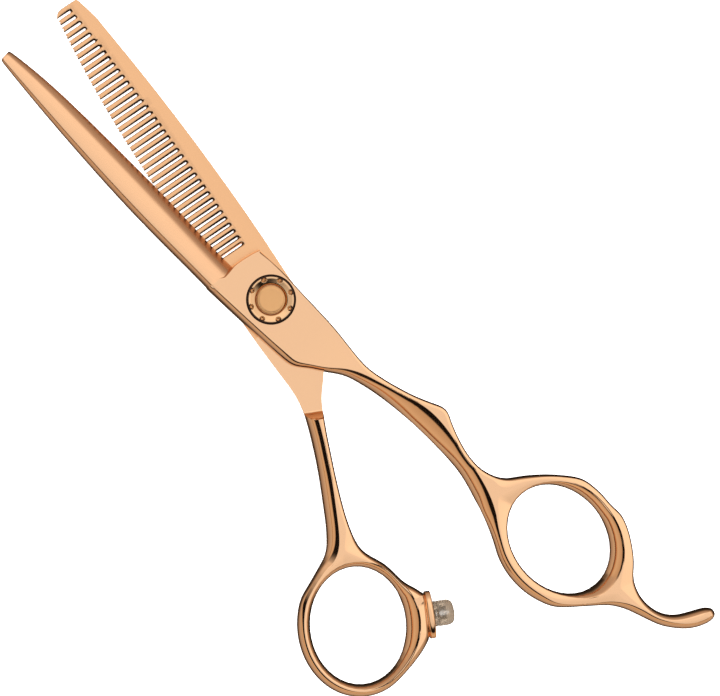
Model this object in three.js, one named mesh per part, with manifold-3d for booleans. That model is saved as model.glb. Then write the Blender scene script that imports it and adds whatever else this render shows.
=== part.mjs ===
// Hair thinning shears: a plain blade over a comb blade, turning on one pivot stud.
// Millimetres, +Z up. The origin is on the pivot axis, in the flat underside of the stud flange.
// +Y runs to the blade tips, +X to the finger-ring side, and the plain half lies on top.
import * as THREE from 'three';
import { mergeVertices } from 'three/addons/utils/BufferGeometryUtils.js';
import Module from 'manifold-3d';

const wasm = await Module();
wasm.setup();

// ---- driving dimensions -------------------------------------------------------------------

const combTurn = THREE.MathUtils.degToRad(-14);

const plateThickness = 3.2;
const runningGap = 0.1;
const handleThickness = 4.7;
const seatGap = 0.05;
const sideGap = 0.12;

const bladeLength = 67.3;
const plainTipThickness = 1.15;
const cuttingEdgeThickness = 0.15;
const combShortfall = 0.6;
const combTipThickness = 1.5;
const toothTipThickness = 0.55;
const bladeRoot = -4;

const toothPitch = 1.42;
const slotWidth = 0.74;
const firstSlotFromPivot = 10.2;
const lastSlotFromTip = 1.3;

const plateBevel = 0.8;
const plateBevelHeight = 1.25;

const fingerReach = 70.55;
const fingerHoleWidth = 17.7;
const fingerHoleLength = 22.0;
const fingerRingBand = 2.85;
const fingerRingLean = THREE.MathUtils.degToRad(8.2);
const tangLength = 18.0;

const fingerRingOffset = 3.75;
const thumbRingOffset = 19.7;
const ringStagger = 10.5;
const thumbHoleWidth = 18.2;
const thumbHoleLength = 22.0;
const thumbRingBand = 2.45;
const thumbRingLean = THREE.MathUtils.degToRad(28.6);

const studRadius = 2.5;
const studFlangeLedge = 1.7;
const studFlangeThickness = 0.8;
const studFlatDepth = 0.5;
const studShoulder = 0.9;
const spannerHoleRadius = 0.5;
const bushWall = 0.65;
const washerThickness = 0.5;

const dialRadius = 4.6;
const dialWall = 0.9;
const spineWall = 1.1;
const dialDepthInPlate = 1.75;
const dialProud = 0.25;
const dialRimWidth = 0.55;
const dialGroove = 1.9;
const dialGrooveDepth = 0.55;
const dialDimples = 8;
const dialDimpleRadius = 0.45;
const dialDimplePhase = THREE.MathUtils.degToRad(17.5);
const capProud = 0.4;
const capThickness = 0.8;
const capRoof = 0.7;
const springThickness = 0.12;
const springWave = 0.12;
const clickPlateThickness = 0.3;
const clickBallRadius = 0.35;

const bumperRadius = 2.4;
const bumperLength = 4.0;
const bumperTurn = THREE.MathUtils.degToRad(-25.2);
const bumperStudRadius = 0.75;
const bumperStudHeadRadius = 1.2;
const bumperStudHeadStart = 1.2;
const bumperStudHeadEnd = 2.4;
const bumperStudDepth = 3.2;
const bossLedge = 1.85;
const bossThickness = 1.5;
const bossWall = 2.65;
const bossEdge = 0.3;

// ---- levels and places worked out from them -----------------------------------------------

const combBladeLength = bladeLength - combShortfall;
const thumbReach = fingerReach - ringStagger;
const ricassoRight = dialRadius + dialWall;
const ricassoLeft = ricassoRight + spineWall;
const studThreadRadius = studRadius - studShoulder;
const studFlangeRadius = studRadius + studFlangeLedge;
const studFlatOffset = studRadius - studFlatDepth;
const spannerHoleOffset = studFlangeRadius - 1.3;
const washerRadius = dialRadius - 0.2;
const capRadius = dialRadius - dialGroove;
const clickBallOffset = (studThreadRadius + dialRadius) / 2 + 0.2;
const bossWidth = 2 * (bumperRadius + bossLedge);
const bossReach = thumbHoleWidth / 2 + thumbRingBand + bossWall;

const combTop = plateThickness;
const plainBottom = combTop + runningGap;
const plainTop = plainBottom + plateThickness;
const middle = (combTop + plainBottom) / 2;
const plateRise = plainTop - middle;

const bushOuter = studRadius + sideGap + bushWall;
const dialPocketFloor = plainTop - dialDepthInPlate;
const washerRecess = washerThickness + seatGap;
const springBottom = dialPocketFloor + seatGap;
const springTop = springBottom + springThickness + springWave;
const clickPlateBottom = springTop + seatGap;
const clickPlateTop = clickPlateBottom + clickPlateThickness;
const clickBallHeight = clickPlateTop + 0.1;
const dialBottom = clickPlateTop + seatGap;
const dialTop = plainTop + dialProud;
const capTop = plainTop + capProud;

const fingerRingCentre = new THREE.Vector2(fingerRingOffset, -fingerReach);
const thumbRingCentre = new THREE.Vector2(-thumbRingOffset, -thumbReach);
const plainStep = 0.3 * fingerReach;
const combStep = 0.385 * thumbReach;
const combStepSlope = 0.467;

// ---- joining and cutting ------------------------------------------------------------------

function solidOf(geometry) {
  const bare = geometry.clone();
  bare.deleteAttribute('normal');
  bare.deleteAttribute('uv');
  const merged = mergeVertices(bare, 1e-4);
  return new wasm.Manifold(new wasm.Mesh({
    numProp: 3,
    vertProperties: new Float32Array(merged.attributes.position.array),
    triVerts: new Uint32Array(merged.index.array),
  }));
}

function geometryOf(solid) {
  const mesh = solid.getMesh();
  const geometry = new THREE.BufferGeometry();
  geometry.setAttribute('position', new THREE.BufferAttribute(mesh.vertProperties, 3));
  geometry.setIndex(new THREE.BufferAttribute(mesh.triVerts, 1));
  geometry.computeVertexNormals();
  return geometry;
}

function joined(first, ...others) {
  return others.reduce((whole, piece) => whole.add(piece), first);
}

function cut(first, ...tools) {
  return tools.reduce((whole, tool) => whole.subtract(tool), first);
}

// ---- basic solids -------------------------------------------------------------------------

function prism(shape, bottom, top, curveSegments = 12) {
  const geometry = new THREE.ExtrudeGeometry(shape, {
    depth: top - bottom,
    bevelEnabled: false,
    curveSegments,
  });
  return solidOf(geometry.translate(0, 0, bottom));
}

function outlineThrough(points) {
  return new THREE.Shape(points.map(([x, y]) => new THREE.Vector2(x, y)));
}

function disc(radius, bottom, top, segments = 40) {
  const geometry = new THREE.CylinderGeometry(radius, radius, top - bottom, segments);
  geometry.rotateX(Math.PI / 2).translate(0, 0, (top + bottom) / 2);
  return solidOf(geometry);
}

function turned(profile, segments = 40) {
  const points = profile.map(([radius, height]) => new THREE.Vector2(radius, height));
  return solidOf(new THREE.LatheGeometry(points, segments).rotateX(Math.PI / 2));
}

// Height of a smooth line through [place, value] pairs, at any place between them.
function smoothLine(pairs) {
  const slope = pairs.map((pair, i) => {
    const before = pairs[Math.max(i - 1, 0)];
    const after = pairs[Math.min(i + 1, pairs.length - 1)];
    return (after[1] - before[1]) / (after[0] - before[0]);
  });
  return (place) => {
    let i = pairs.findIndex((pair) => pair[0] >= place);
    i = i < 0 ? pairs.length - 1 : Math.max(i, 1);
    const [x0, y0] = pairs[i - 1];
    const [x1, y1] = pairs[i];
    const span = x1 - x0;
    const t = THREE.MathUtils.clamp((place - x0) / span, 0, 1);
    const start = y0 + (3 * t * t - 2 * t * t * t) * (y1 - y0);
    const bend = (t * t * t - 2 * t * t + t) * slope[i - 1] + (t * t * t - t * t) * slope[i];
    return start + bend * span;
  };
}

// ---- forged halves ------------------------------------------------------------------------

// Points round a finger ring's outside, from one angle to another about the hole's centre.
function ringArc(centre, width, length, lean, band, from, to, count) {
  const across = new THREE.Vector2(Math.cos(lean), -Math.sin(lean));
  const along = new THREE.Vector2(Math.sin(lean), Math.cos(lean));
  const points = [];
  for (let i = 0; i <= count; i += 1) {
    const angle = THREE.MathUtils.degToRad(from + (to - from) * i / count);
    const [c, s] = [Math.cos(angle), Math.sin(angle)];
    const normal = new THREE.Vector2()
      .addScaledVector(across, 2 * c / width)
      .addScaledVector(along, 2 * s / length)
      .normalize();
    const point = centre.clone()
      .addScaledVector(across, c * width / 2)
      .addScaledVector(along, s * length / 2)
      .addScaledVector(normal, band);
    points.push([point.x, point.y]);
  }
  return points;
}

// A forged handle: a smooth outline with rounded edges, as thick as two plates round the pivot
// and thinner along the shank and ring, with an oval hole.
function forgedHandle(points, centre, width, length, lean) {
  const curve = new THREE.SplineCurve(points.map(([x, y]) => new THREE.Vector2(x, y)));
  const spaced = curve.getSpacedPoints(Math.round(curve.getLength() / 1.5));
  const shape = new THREE.Shape(spaced.slice(0, -1));
  const hole = new THREE.Path();
  hole.absellipse(centre.x, centre.y, width / 2, length / 2, 0, 2 * Math.PI, true, -lean);
  shape.holes.push(new THREE.Path(hole.getSpacedPoints(44).slice(0, -1)));
  const geometry = new THREE.ExtrudeGeometry(shape, {
    depth: 2 * (plateRise - plateBevelHeight),
    bevelSize: plateBevel,
    bevelOffset: -plateBevel,
    bevelThickness: plateBevelHeight,
    bevelSegments: 2,
    curveSegments: 1,
  });
  geometry.translate(0, 0, plateBevelHeight - plateRise);
  const position = geometry.attributes.position;
  const thin = handleThickness / 2 / plateRise;
  for (let i = 0; i < position.count; i += 1) {
    const away = THREE.MathUtils.smoothstep(-position.getY(i) / fingerReach, 0.14, 0.48);
    position.setZ(i, middle + position.getZ(i) * THREE.MathUtils.lerp(1, thin, away));
  }
  return solidOf(geometry);
}

// A blade: sections from the tip to the root, each with its corners where corner(k, y) puts them.
function blade(cornerCount, tip, root, steps, corner) {
  const section = new THREE.Shape();
  section.absarc(0, 0, 1, 0, 2 * Math.PI * (1 - 1 / cornerCount));
  const ring = section.getSpacedPoints(cornerCount - 1);
  const geometry = new THREE.ExtrudeGeometry(new THREE.Shape(ring), {
    depth: steps,
    steps,
    bevelEnabled: false,
  });
  const position = geometry.attributes.position;
  for (let i = 0; i < position.count; i += 1) {
    const turn = Math.atan2(position.getY(i), position.getX(i)) / (2 * Math.PI);
    const k = (Math.round(turn * cornerCount) + cornerCount) % cornerCount;
    const y = THREE.MathUtils.lerp(tip, root, position.getZ(i) / steps);
    const [x, z] = corner(k, y);
    position.setXYZ(i, x, y, z);
  }
  return solidOf(geometry);
}

// Where a blade's edges and creases run: shares of its length, and of the spine side's half width.
function bladeLine(shares) {
  return smoothLine(shares.map(([place, across]) => [place, across * ricassoLeft]));
}

const plainEdge = bladeLine([
  [-0.1, -0.21], [0.15, -0.04], [0.3, 0.06], [0.45, 0.17], [0.6, 0.23], [0.75, 0.29],
  [0.87, 0.29], [0.95, 0.25], [1, 0.20],
]);
const plainRidge = bladeLine([
  [-0.1, -0.48], [0.15, -0.39], [0.3, -0.30], [0.42, -0.23], [0.54, -0.15], [0.65, -0.09],
  [0.77, -0.04], [0.9, 0.01], [1, 0.04],
]);
const plainCrease = bladeLine([
  [-0.1, -0.85], [0.24, -0.80], [0.36, -0.76], [0.48, -0.70], [0.6, -0.61], [0.74, -0.47],
  [0.9, -0.27], [1, -0.11],
]);
const plainSpine = bladeLine([
  [-0.1, -1], [0.12, -0.98], [0.24, -0.92], [0.36, -0.87], [0.48, -0.79], [0.6, -0.68],
  [0.71, -0.56], [0.83, -0.41], [0.93, -0.27], [1, -0.16],
]);
const combSpine = bladeLine([
  [-0.1, 0.82], [0.18, 0.82], [0.3, 0.79], [0.42, 0.74], [0.54, 0.67], [0.66, 0.58],
  [0.77, 0.48], [0.89, 0.35], [0.97, 0.26], [1, 0.14],
]);
const combTips = bladeLine([
  [-0.1, -0.80], [0.3, -0.92], [0.45, -0.95], [0.57, -0.94], [0.69, -0.91], [0.8, -0.83],
  [0.89, -0.74], [1, -0.61],
]);
const combRoots = bladeLine([
  [0.15, 0.28], [0.32, 0.27], [0.42, 0.24], [0.57, 0.17], [0.75, 0.06], [0.87, -0.04],
  [0.93, -0.10], [0.98, -0.17],
]);

function plainBlade() {
  return blade(8, bladeLength, bladeRoot, 18, (k, y) => {
    const place = y / bladeLength;
    const back = THREE.MathUtils.lerp(plateThickness, plainTipThickness, Math.max(place, 0));
    const [edge, ridge] = [plainEdge(place), plainRidge(place)];
    const [crease, spine] = [plainCrease(place), plainSpine(place)];
    const corners = [
      [edge, 0],
      [edge, cuttingEdgeThickness],
      [ridge, 0.8 * back],
      [THREE.MathUtils.lerp(ridge, crease, 0.33), 0.92 * back],
      [THREE.MathUtils.lerp(ridge, crease, 0.67), 0.985 * back],
      [crease, back],
      [spine, 0.55 * back],
      [spine, 0],
    ];
    return [corners[k][0], plainBottom + corners[k][1]];
  });
}

function combBlade() {
  return blade(7, combBladeLength, bladeRoot, 14, (k, y) => {
    const place = y / combBladeLength;
    const back = THREE.MathUtils.lerp(plateThickness, combTipThickness, Math.max(place, 0));
    const [spine, tips] = [combSpine(place), combTips(place)];
    const corners = [
      [spine, 0],
      [tips, 0],
      [tips, toothTipThickness],
      [THREE.MathUtils.lerp(tips, spine, 0.5), 0.8 * back],
      [THREE.MathUtils.lerp(tips, spine, 0.7), back],
      [THREE.MathUtils.lerp(tips, spine, 0.9), back],
      [spine, 0.5 * back],
    ];
    return [corners[k][0], combTop - corners[k][1]];
  });
}

// The slots between the teeth, each with a round root.
function combCuts() {
  const cuts = [];
  const last = combBladeLength - lastSlotFromTip;
  const count = Math.floor((last - firstSlotFromPivot) / toothPitch + 0.01);
  const outside = -ricassoLeft - 3;
  for (let i = 0; i <= count; i += 1) {
    const y = last - i * toothPitch;
    const root = combRoots(y / combBladeLength) - slotWidth / 2;
    const slot = new THREE.Shape();
    slot.moveTo(outside, y - slotWidth / 2);
    slot.lineTo(root, y - slotWidth / 2);
    slot.absarc(root, y, slotWidth / 2, -Math.PI / 2, Math.PI / 2);
    slot.lineTo(outside, y + slotWidth / 2);
    cuts.push(prism(slot, -1, combTop + 1, 2));
  }
  return cuts;
}

// Points along a shank's side: how far across, and at what share of the ring's reach from the pivot.
function shankSide(reach, points) {
  return points.map(([x, share]) => [x, share * reach]);
}

function plainHalf() {
  const ring = [fingerRingCentre, fingerHoleWidth, fingerHoleLength, fingerRingLean];
  const tangRoot = fingerRingCentre.y - fingerHoleLength / 2 - fingerRingBand;
  const tang = [
    [11.4, 0.467], [10.15, 0.3], [8.1, 0.135], [6.1, 0.01], [4.8, -0.04], [3.35, -0.14],
    [2.3, -0.3], [2.5, -0.5], [4.2, -0.66], [8.0, -0.8],
    [9.6, -0.86], [10.15, -0.92], [9.85, -0.97], [8.9, -1.0], [6.2, -0.95], [3.6, -0.84],
    [1.1, -0.64], [-0.2, -0.42], [-1.2, -0.24], [-2.7, -0.09], [-4.9, 0.035],
  ].map(([x, share]) => [fingerRingCentre.x + x, tangRoot + share * tangLength]);
  const outline = [
    [-ricassoLeft + 0.12, 14],
    [-ricassoLeft, 2],
    [-ricassoLeft + 0.02, -9],
    [-ricassoLeft + 0.35, -11.9],
    ...shankSide(fingerReach, [
      [-5.0, -0.191], [-2.9, -0.24], [-1.0, -0.283], [0.1, -0.34], [0.8, -0.405],
      [1.2, -0.5], [1.0, -0.6], [0.4, -0.68], [-0.8, -0.74], [-3.0, -0.82],
    ]),
    ...ringArc(...ring, fingerRingBand, 146, 226, 6),
    ...tang.reverse(),
    ...ringArc(...ring, fingerRingBand, -6, 28, 3),
    ...shankSide(fingerReach, [
      [12.5, -0.882], [10.4, -0.848], [7.7, -0.812], [5.3, -0.785], [4.0, -0.75],
      [3.5, -0.709], [4.0, -0.659], [5.2, -0.61], [6.6, -0.567], [7.5, -0.543],
      [6.6, -0.51], [5.1, -0.454], [3.7, -0.375], [3.1, -0.312], [3.5, -0.255],
      [4.4, -0.17],
    ]),
    [ricassoRight - 0.5, -4],
    [ricassoRight - 0.05, 2],
    [ricassoRight, 8],
    [ricassoRight - 0.1, 14],
    [0, 14.3],
    [-ricassoLeft + 0.12, 14],
  ];
  const grindEnd = prism(outlineThrough([
    [-20, 10.1], [-3.8, 10.1], [0, 9.5], [2.2, 9.0], [4.2, 8.4], [20, 2], [20, 30], [-20, 30],
  ]), -5, 20);
  const rideFace = prism(outlineThrough([
    [-30, -plainStep], [30, -plainStep - 2], [30, 60], [-30, 60],
  ]), -5, plainBottom);
  const handle = cut(forgedHandle(outline, ...ring), grindEnd, rideFace);
  return cut(
    joined(handle, plainBlade()),
    disc(bushOuter + sideGap, -1, 20),
    disc(dialRadius + sideGap, dialPocketFloor, 20),
  );
}

// The pad on the thumb ring that carries the bumper, facing the finger ring.
const bossCentre = thumbRingCentre.clone().add(
  new THREE.Vector2(Math.cos(bumperTurn), Math.sin(bumperTurn)).multiplyScalar(bossReach),
);
const bumperAxis = new THREE.Matrix4()
  .makeTranslation(bossCentre.x, bossCentre.y, middle)
  .multiply(new THREE.Matrix4().makeRotationZ(bumperTurn))
  .multiply(new THREE.Matrix4().makeRotationY(Math.PI / 2));

function bumperBoss() {
  const face = new THREE.Shape();
  face.absellipse(0, 0, handleThickness / 2 - bossEdge, bossWidth / 2 - bossEdge, 0, 2 * Math.PI);
  const pad = new THREE.ExtrudeGeometry(face, {
    depth: bossThickness - 2 * bossEdge,
    bevelSize: bossEdge,
    bevelThickness: bossEdge,
    bevelSegments: 2,
    curveSegments: 24,
  });
  pad.translate(0, 0, bossEdge - bossThickness).applyMatrix4(bumperAxis);
  return solidOf(pad);
}

function combHalf() {
  const ring = [thumbRingCentre, thumbHoleWidth, thumbHoleLength, thumbRingLean];
  const bossSide = [
    [-4.2, -7.9], [-2.9, -6.5], [-1.7, -5.0], [-0.9, -3.1], [-0.7, 0], [-0.95, 2.9],
    [-1.9, 4.8], [-3.4, 5.9], [-4.6, 6.8],
  ].map(([out, across]) => {
    const point = new THREE.Vector2(bossReach + out, across);
    point.rotateAround(new THREE.Vector2(), bumperTurn).add(thumbRingCentre);
    return [point.x, point.y];
  });
  const outline = [
    [-ricassoLeft + 0.12, 12],
    [-ricassoLeft, 2],
    [-ricassoLeft + 0.2, -6],
    [-ricassoLeft + 0.6, -13],
    ...shankSide(thumbReach, [
      [-5.8, -0.284], [-6.2, -0.347], [-7.5, -0.421], [-9.8, -0.521], [-12.6, -0.623],
      [-15.0, -0.703], [-17.2, -0.754], [-20.0, -0.781], [-23.1, -0.807],
    ]),
    ...ringArc(...ring, thumbRingBand, 154, 312, 9),
    ...bossSide,
    ...shankSide(thumbReach, [
      [-9.0, -0.897], [-9.7, -0.869], [-10.6, -0.842], [-11.4, -0.81], [-11.4, -0.774],
      [-10.9, -0.726], [-9.8, -0.663], [-8.1, -0.584], [-6.3, -0.508], [-4.3, -0.426],
      [-2.0, -0.347], [0.3, -0.3],
    ]),
    [2.4, -14.5],
    [3.9, -8],
    [ricassoRight - 0.25, 0],
    [ricassoRight - 0.2, 6],
    [ricassoRight - 0.4, 12],
    [0, 12.3],
    [-ricassoLeft + 0.12, 12],
  ];
  const bladeSide = prism(outlineThrough([
    [-20, 8.6], [20, 8.6], [20, 30], [-20, 30],
  ]), -5, 20);
  const rideFace = prism(outlineThrough([
    [-20, 20 * combStepSlope - combStep - 1],
    [10, -10 * combStepSlope - combStep - 1],
    [30, -10 * combStepSlope - combStep - 1],
    [30, 60],
    [-20, 60],
  ]), combTop, 20);
  const handle = cut(forgedHandle(outline, ...ring), bladeSide, rideFace);
  const whole = joined(handle, cut(combBlade(), ...combCuts()), bumperBoss());
  const studHole = cut(
    disc(studRadius + sideGap, -1, combTop + 1),
    prism(outlineThrough([
      [studFlatOffset + sideGap, -5], [5, -5], [5, 5], [studFlatOffset + sideGap, 5],
    ]), -2, combTop + 2),
  );
  const bumperStudHole = new THREE.CylinderGeometry(
    bumperStudRadius + sideGap, bumperStudRadius + sideGap, 4, 20,
  );
  bumperStudHole.rotateX(Math.PI / 2).translate(0, 0, -1.5).applyMatrix4(bumperAxis);
  return cut(
    whole,
    studHole,
    disc(studFlangeRadius + sideGap, -1, studFlangeThickness + seatGap),
    disc(washerRadius + sideGap, combTop - washerRecess, 20),
    solidOf(bumperStudHole),
  );
}

// ---- pivot --------------------------------------------------------------------------------

function pivotStud() {
  const key = prism(outlineThrough([
    [studFlatOffset, -5], [5, -5], [5, 5], [studFlatOffset, 5],
  ]), studFlangeThickness + 0.01, combTop - washerRecess);
  const shaft = turned([
    [0, 0],
    [studFlangeRadius - 0.2, 0],
    [studFlangeRadius, 0.2],
    [studFlangeRadius, studFlangeThickness],
    [studRadius, studFlangeThickness],
    [studRadius, dialPocketFloor - 0.2],
    [studThreadRadius, dialPocketFloor],
    [studThreadRadius, capTop - capRoof - seatGap],
    [0, capTop - capRoof - seatGap],
  ]);
  const holes = [-1, 1].map((side) => {
    const hole = new THREE.CylinderGeometry(spannerHoleRadius, spannerHoleRadius, 1, 16);
    return solidOf(hole.rotateX(Math.PI / 2).translate(side * spannerHoleOffset, 0, 0));
  });
  return cut(shaft, key, ...holes);
}

function ringOf(inner, outer, bottom, top, segments = 40) {
  return turned([
    [inner, bottom], [outer, bottom], [outer, top], [inner, top], [inner, bottom],
  ], segments);
}

function waveSpring() {
  const outer = dialRadius - 0.35;
  const inner = studRadius + sideGap;
  const profile = [
    [inner, 0], [outer, 0], [outer, springThickness], [inner, springThickness], [inner, 0],
  ].map(([radius, height]) => new THREE.Vector2(radius, height));
  const geometry = new THREE.LatheGeometry(profile, 40).rotateX(Math.PI / 2);
  const position = geometry.attributes.position;
  for (let i = 0; i < position.count; i += 1) {
    const angle = Math.atan2(position.getY(i), position.getX(i));
    const wave = springWave * (0.5 + 0.5 * Math.cos(3 * angle));
    position.setZ(i, position.getZ(i) + springBottom + wave);
  }
  return solidOf(geometry);
}

function clickBall(side) {
  const ball = new THREE.SphereGeometry(clickBallRadius, 12, 8);
  return solidOf(ball.translate(side * clickBallOffset, 0, clickBallHeight));
}

// The flat washer that carries the two click balls and is keyed to the stud's thread.
function clickPlate() {
  const plate = ringOf(studThreadRadius + sideGap, dialRadius - 0.3, clickPlateBottom, clickPlateTop);
  const pockets = [-1, 1].map((side) => {
    const pocket = new THREE.CylinderGeometry(
      clickBallRadius + sideGap, clickBallRadius + sideGap, 2, 20,
    );
    pocket.rotateX(Math.PI / 2).translate(side * clickBallOffset, 0, clickPlateTop);
    return solidOf(pocket);
  });
  return cut(plate, ...pockets);
}

// The tension dial: a flat rim, a sloping groove and a ring of half-round thumb dimples.
function tensionDial() {
  const rimInner = dialRadius - dialRimWidth;
  const grooveFloor = dialTop - dialGrooveDepth;
  const capSeat = capTop - capThickness - seatGap;
  const body = turned([
    [studThreadRadius + sideGap, dialBottom],
    [dialRadius, dialBottom],
    [dialRadius, dialTop - 0.12],
    [dialRadius - 0.12, dialTop],
    [rimInner, dialTop],
    [rimInner - 0.25, dialTop - 0.1],
    [capRadius + sideGap, grooveFloor],
    [capRadius + sideGap, capSeat],
    [studThreadRadius + sideGap, capSeat],
    [studThreadRadius + sideGap, dialBottom],
  ]);
  const dimples = [];
  for (let i = 0; i < dialDimples; i += 1) {
    const angle = dialDimplePhase + i * 2 * Math.PI / dialDimples;
    const dimple = new THREE.CylinderGeometry(dialDimpleRadius, dialDimpleRadius, 1, 12);
    dimple.rotateX(Math.PI / 2);
    dimple.translate(rimInner * Math.cos(angle), rimInner * Math.sin(angle), dialTop + 0.12);
    dimples.push(solidOf(dimple));
  }
  const ballTrack = ringOf(
    clickBallOffset - clickBallRadius - sideGap,
    clickBallOffset + clickBallRadius + sideGap,
    dialBottom - 1,
    clickBallHeight + clickBallRadius + seatGap,
  );
  return cut(body, ...dimples, ballTrack);
}

function dialCap() {
  const bottom = capTop - capThickness;
  return cut(
    turned([
      [0, bottom],
      [capRadius, bottom],
      [capRadius, capTop - 0.2],
      [capRadius - 0.2, capTop - 0.04],
      [capRadius - 1.2, capTop],
      [0, capTop],
    ]),
    disc(studThreadRadius + sideGap, bottom - 1, capTop - capRoof, 24),
  );
}

// ---- bumper -------------------------------------------------------------------------------

function bumper() {
  const start = seatGap;
  const end = bumperLength;
  const profile = [
    [0, start],
    [bumperRadius - 0.25, start],
    [bumperRadius, start + 0.25],
    [bumperRadius, end - 1.1],
    [bumperRadius - 0.3, end - 0.55],
    [bumperRadius - 0.95, end - 0.15],
    [0, end],
  ].map(([radius, height]) => new THREE.Vector2(radius, height));
  const barrel = new THREE.LatheGeometry(profile, 32).rotateX(Math.PI / 2);
  const bore = new THREE.LatheGeometry([
    [0, -1],
    [bumperStudRadius + sideGap, -1],
    [bumperStudRadius + sideGap, bumperStudHeadStart],
    [bumperStudHeadRadius + sideGap, bumperStudHeadStart],
    [bumperStudHeadRadius + sideGap, bumperStudHeadEnd],
    [0, bumperStudHeadEnd],
  ].map(([radius, height]) => new THREE.Vector2(radius, height)), 20).rotateX(Math.PI / 2);
  return cut(solidOf(barrel), solidOf(bore)).transform(bumperAxis.toArray());
}

function bumperStud() {
  const profile = [
    [0, -bumperStudDepth],
    [bumperStudRadius, -bumperStudDepth],
    [bumperStudRadius, bumperStudHeadStart + sideGap],
    [bumperStudHeadRadius, bumperStudHeadStart + sideGap],
    [bumperStudHeadRadius, bumperStudHeadEnd - sideGap],
    [0, bumperStudHeadEnd - sideGap],
  ].map(([radius, height]) => new THREE.Vector2(radius, height));
  const stud = new THREE.LatheGeometry(profile, 20).rotateX(Math.PI / 2);
  return solidOf(stud.applyMatrix4(bumperAxis));
}

// ---- assembly -----------------------------------------------------------------------------

function finish(color, roughness, metalness) {
  return new THREE.MeshStandardMaterial({ color, roughness, metalness, flatShading: true });
}

const roseGold = () => finish(0xe3a878, 0.18, 1);
const paleGold = () => finish(0xd9b98a, 0.3, 1);
const steel = () => finish(0xb9bcc0, 0.35, 1);
const bronze = () => finish(0x9a6f3d, 0.45, 1);

function named(name, solid, material) {
  const mesh = new THREE.Mesh(geometryOf(solid), material);
  mesh.name = name;
  return mesh;
}

const shears = new THREE.Group();
shears.add(named('plain_blade_half', plainHalf(), roseGold()));
shears.add(named(
  'pivot_bush',
  ringOf(studRadius + sideGap, bushOuter, plainBottom + seatGap, dialPocketFloor - seatGap),
  bronze(),
));

const combSide = new THREE.Group();
combSide.rotation.z = combTurn;
combSide.add(named('comb_blade_half', combHalf(), roseGold()));
combSide.add(named('pivot_stud', pivotStud(), steel()));
combSide.add(named(
  'thrust_washer',
  ringOf(
    studRadius + sideGap,
    washerRadius,
    combTop - washerThickness,
    combTop,
  ),
  finish(0xe8e2d2, 0.5, 0),
));
combSide.add(named('wave_spring', waveSpring(), steel()));
combSide.add(named('click_plate', clickPlate(), steel()));
combSide.add(named('click_ball_left', clickBall(-1), steel()));
combSide.add(named('click_ball_right', clickBall(1), steel()));
combSide.add(named('tension_dial', tensionDial(), paleGold()));
combSide.add(named('dial_cap', dialCap(), paleGold()));
combSide.add(named('bumper', bumper(), finish(0xa89880, 0.35, 0)));
combSide.add(named('bumper_stud', bumperStud(), steel()));
shears.add(combSide);

export default shears;
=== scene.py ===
import math

import bmesh
import bpy
import numpy as np
from mathutils import Matrix, Vector


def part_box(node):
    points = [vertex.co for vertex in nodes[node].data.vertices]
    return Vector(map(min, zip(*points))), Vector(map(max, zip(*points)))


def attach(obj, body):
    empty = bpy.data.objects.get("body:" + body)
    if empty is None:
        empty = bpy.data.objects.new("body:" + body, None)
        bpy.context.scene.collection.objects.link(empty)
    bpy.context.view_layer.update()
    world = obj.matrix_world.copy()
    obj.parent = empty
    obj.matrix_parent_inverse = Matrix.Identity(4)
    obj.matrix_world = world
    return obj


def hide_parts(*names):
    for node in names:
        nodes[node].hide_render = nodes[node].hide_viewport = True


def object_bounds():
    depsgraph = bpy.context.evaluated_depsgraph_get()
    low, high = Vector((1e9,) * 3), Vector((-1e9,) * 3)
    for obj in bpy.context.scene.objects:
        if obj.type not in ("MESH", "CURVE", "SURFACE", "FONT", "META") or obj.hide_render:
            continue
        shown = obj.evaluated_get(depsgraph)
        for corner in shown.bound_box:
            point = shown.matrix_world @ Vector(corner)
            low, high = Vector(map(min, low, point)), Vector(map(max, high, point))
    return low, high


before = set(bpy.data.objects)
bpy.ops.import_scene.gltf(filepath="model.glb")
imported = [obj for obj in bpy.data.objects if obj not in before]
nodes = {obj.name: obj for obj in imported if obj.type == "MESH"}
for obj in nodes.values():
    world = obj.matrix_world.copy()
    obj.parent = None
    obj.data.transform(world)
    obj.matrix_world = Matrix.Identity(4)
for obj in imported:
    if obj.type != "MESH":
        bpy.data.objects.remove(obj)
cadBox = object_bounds()
mm = 0.001
print("frame loaded:", len(nodes), "nodes")

# The view: a long lens almost straight above, leaning a little to the blades' side.
view = {
    "target": Vector((4.72, -18.56, 5.0)) * mm,
    "width": 134.6 * mm,
    "right": Vector((0.675, -0.738, 0.0)),
    "tilt": math.radians(6.5),
    "lens": 600.0,
    "sensor": 36.0,
    "clip": (0.01, 10.0),
}


def makeCamera():
    data = bpy.data.cameras.new("shearsCamera")
    data.lens = view["lens"]
    data.sensor_width = view["sensor"]
    camera = bpy.data.objects.new("shearsCamera", data)
    bpy.context.scene.collection.objects.link(camera)
    right = view["right"].normalized()
    back = (Vector((0, 0, 1)) * math.cos(view["tilt"]) - right * math.sin(view["tilt"])).normalized()
    right = (right - back * right.dot(back)).normalized()
    up = back.cross(right)
    distance = view["width"] * data.lens / data.sensor_width
    turn = Matrix((right, up, back)).transposed().to_4x4()
    camera.matrix_world = Matrix.Translation(view["target"] + back * distance) @ turn
    data.clip_start, data.clip_end = view["clip"]
    bpy.context.scene.camera = camera


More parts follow.
